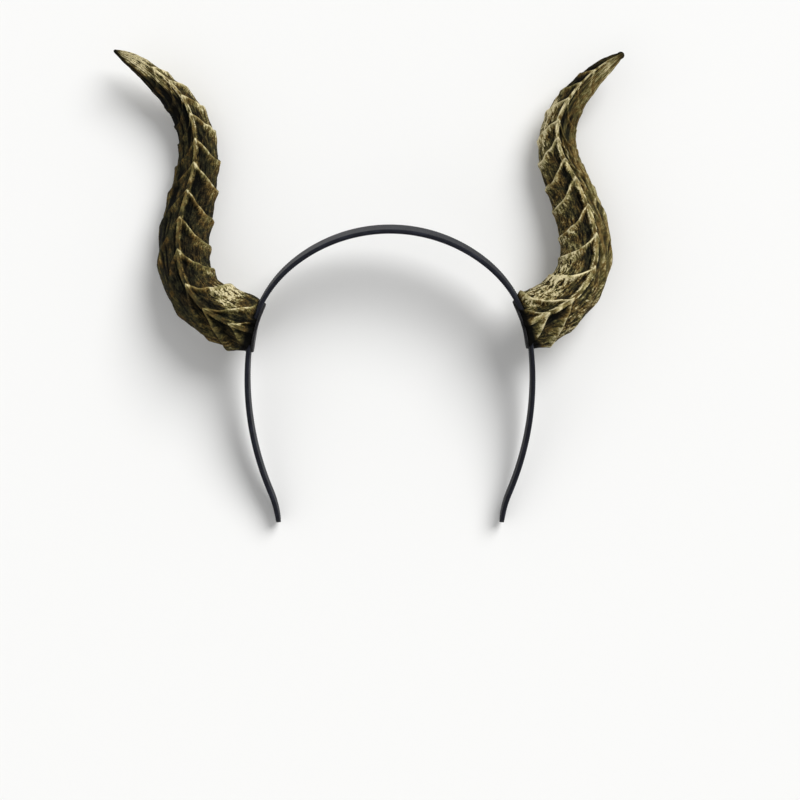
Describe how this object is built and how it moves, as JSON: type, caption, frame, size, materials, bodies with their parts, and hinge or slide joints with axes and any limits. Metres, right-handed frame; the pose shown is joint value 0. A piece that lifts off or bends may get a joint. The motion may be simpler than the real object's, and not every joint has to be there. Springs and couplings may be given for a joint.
{
  "type": "devil horn headband",
  "caption": "Fabric-covered hair hoop with ribbed, tapering S-shaped devil horns standing out from its sides, lying on its back as it rests on a table.",
  "frame": {"origin": "on the table under the middle of the outline, with the headband lying on its back", "axes": "+X to the wearer's left, +Y from the hoop's ends to its crown, +Z towards the wearer's front, up from the table"},
  "size_m": [0.2766, 0.2566, 0.0487],
  "materials": {
    "horn_paint": "black moulded foam dry-brushed with antique gold paint, satin",
    "hoop_ribbon": "fine ribbed navy-black ribbon, dull",
    "pad_felt": "black felt"
  },
  "bodies": {
    "root": {"horn_right": "horn_paint", "horn_left": "horn_paint", "hoop": "hoop_ribbon", "pad_right": "pad_felt", "pad_left": "pad_felt"}
  },
  "joints": []
}
